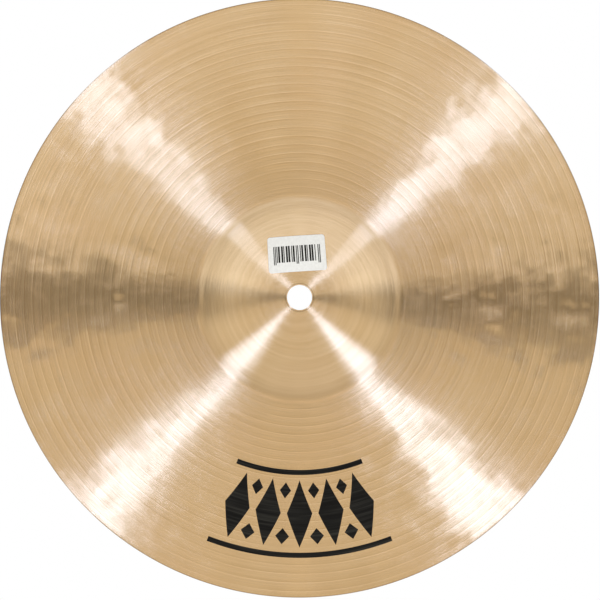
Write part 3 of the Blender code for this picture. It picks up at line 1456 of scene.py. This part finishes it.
    def light(self, nodes: NodeTree) -> Socket:
        """The light of the room and of the soft boxes.

        Args:
            nodes: the world's nodes.

        Returns:
            Its colour by direction.
        """
        at = self.part(nodes)
        room = nodes.blend(at.outer, self.warm, self.pale)
        glowing = at.outer * nodes.ramp(at.south, *self.glow_rise) * (1 - self.glow_foot_loss * at.foot)
        room = nodes.blend(glowing, room, self.glow)
        boxes = nodes.scaled(self.cool, self.box_light(at))
        return nodes.vector("ADD", nodes.scaled(room, self.room_light(at)), boxes)


@dataclass
class Studio:
    """A plain pale floor, the surround, and lamps on both sides of the floor."""

    mirrored: MirroredSurround = MirroredSurround()
    room_colour: Colour = (0.77, 0.765, 0.74)
    floor_side: float = 6.0
    floor_colour: Colour = (0.80, 0.80, 0.79)
    lamp_colour: Colour = (0.95, 1.0, 1.05)
    lamp_power: float = 5.0
    lamp_size: float = 0.5
    lamp_distance: float = 1.5
    lamp_tilt: float = 42.0

    def floor(self) -> None:
        """Makes the floor, which shows from above only and hides nothing from the lamps below."""
        mesh = bpy.data.meshes.new("floor")
        half = self.floor_side / 2
        corners = [(-half, -half, 0), (half, -half, 0), (half, half, 0), (-half, half, 0)]
        mesh.from_pydata(corners, [], [(0, 1, 2, 3)])
        floor = bpy.data.objects.new("floor", mesh)
        bpy.context.scene.collection.objects.link(floor)
        material = bpy.data.materials.new("floor_paper")
        nodes = NodeTree(material)
        matt = nodes.add("ShaderNodeBsdfDiffuse", inputs={"Color": (*self.floor_colour, 1.0)})
        clear = nodes.add("ShaderNodeBsdfTransparent")
        under = nodes.out(nodes.add("ShaderNodeNewGeometry"), "Backfacing")
        shown = nodes.add("ShaderNodeMixShader", inputs={0: under, 1: nodes.out(matt), 2: nodes.out(clear)})
        nodes.add("ShaderNodeOutputMaterial", inputs={"Surface": nodes.out(shown)})
        mesh.materials.append(material)
        floor.visible_shadow = False
        floor.visible_diffuse = False
        floor.visible_glossy = False

    def surround(self) -> None:
        """Makes the world: white to the camera, plain as light, and with the soft boxes where mirrored."""
        world = bpy.data.worlds.new("surround")
        bpy.context.scene.world = world
        nodes = NodeTree(world)
        seen = nodes.add("ShaderNodeLightPath")
        glossy, camera = nodes.out(seen, "Is Glossy Ray"), nodes.out(seen, "Is Camera Ray")
        colour = nodes.blend(glossy, self.room_colour, self.mirrored.light(nodes))
        colour = nodes.blend(camera, colour, (1.0, 1.0, 1.0))
        light = nodes.add("ShaderNodeBackground", inputs={"Color": colour, "Strength": 1.0})
        nodes.add("ShaderNodeOutputWorld", inputs={"Surface": nodes.out(light)})

    def lamp(self, name: str, bearing: float, side: Side) -> None:
        """Adds a lamp that faces the cymbal. The metal mirrors the surround's soft boxes and not the lamp.

        Args:
            name: the lamp's name.
            bearing: its direction round the axis from +X, degrees.
            side: the face of the metal that it lights.
        """
        light = bpy.data.lights.new(name, "AREA")
        light.size = self.lamp_size
        light.energy = self.lamp_power
        light.color = self.lamp_colour
        lamp = bpy.data.objects.new(name, light)
        tilt, turn = math.radians(self.lamp_tilt), math.radians(bearing)
        away = Vector(
            (math.sin(tilt) * math.cos(turn), math.sin(tilt) * math.sin(turn), side.value * math.cos(tilt))
        )
        lamp.location = away * self.lamp_distance
        lamp.rotation_mode = "QUATERNION"
        lamp.rotation_quaternion = away.to_track_quat("Z", "Y")
        lamp.visible_camera = False
        lamp.visible_glossy = False
        bpy.context.scene.collection.objects.link(lamp)

    def lamps(self) -> None:
        """Two lamps below, left and right of the picture's top, and two above for the bell's side."""
        right, left = self.mirrored.boxes[:2]
        for side in Side:
            self.lamp(f"right_{side.name.lower()}", right.bearing, side)
            self.lamp(f"left_{side.name.lower()}", left.bearing, side)


@dataclass
class PhotoCamera:
    """The photograph's camera: straight below, a little towards the picture's top."""

    rim_centre: Corner = (299.54, 299.08)
    rim_radius: float = 299.67
    distance: float = 1.4
    lean: float = 1.7
    sensor: float = 36.0

    def place(self, diameter: float) -> None:
        """Makes the camera.

        Args:
            diameter: the cymbal's, metres.
        """
        scale = diameter / 2 / self.rim_radius
        data = bpy.data.cameras.new("photo_camera")
        data.sensor_width = self.sensor
        data.lens = self.sensor * self.distance / (scale * FRAME_PIXELS)
        camera = bpy.data.objects.new("photo_camera", data)
        bpy.context.scene.collection.objects.link(camera)
        lean = math.radians(self.lean)
        off_x, off_y = ((FRAME_PIXELS / 2 - middle) * scale for middle in self.rim_centre)
        back = Vector((0.0, -math.sin(lean), -math.cos(lean)))
        right = Vector((1.0, 0.0, 0.0))
        camera.location = Vector((off_x, off_y, 0.0)) + back * self.distance
        camera.rotation_mode = "QUATERNION"
        camera.rotation_quaternion = Matrix((right, back.cross(right), back)).transposed().to_quaternion()
        bpy.context.scene.camera = camera


def main() -> None:
    """Builds the pieces, the studio and the camera in order."""
    logging.basicConfig(level=logging.INFO, format="%(name)s: %(message)s")
    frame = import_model()
    LOG.info("frame: %d CAD nodes", len(frame["nodes"]))
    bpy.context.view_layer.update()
    low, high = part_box("cymbal")
    section = MetalSection(diameter=high.x - low.x)
    cymbal = Cymbal(section, HammerMarks(section))
    cymbal.build()
    BellLabel(section).build()
    PrintedBand(cymbal).build()
    studio = Studio()
    studio.floor()
    studio.surround()
    studio.lamps()
    PhotoCamera().place(section.diameter)
    bpy.context.scene.view_settings.view_transform = "Standard"


if __name__ == "__main__":
    main()
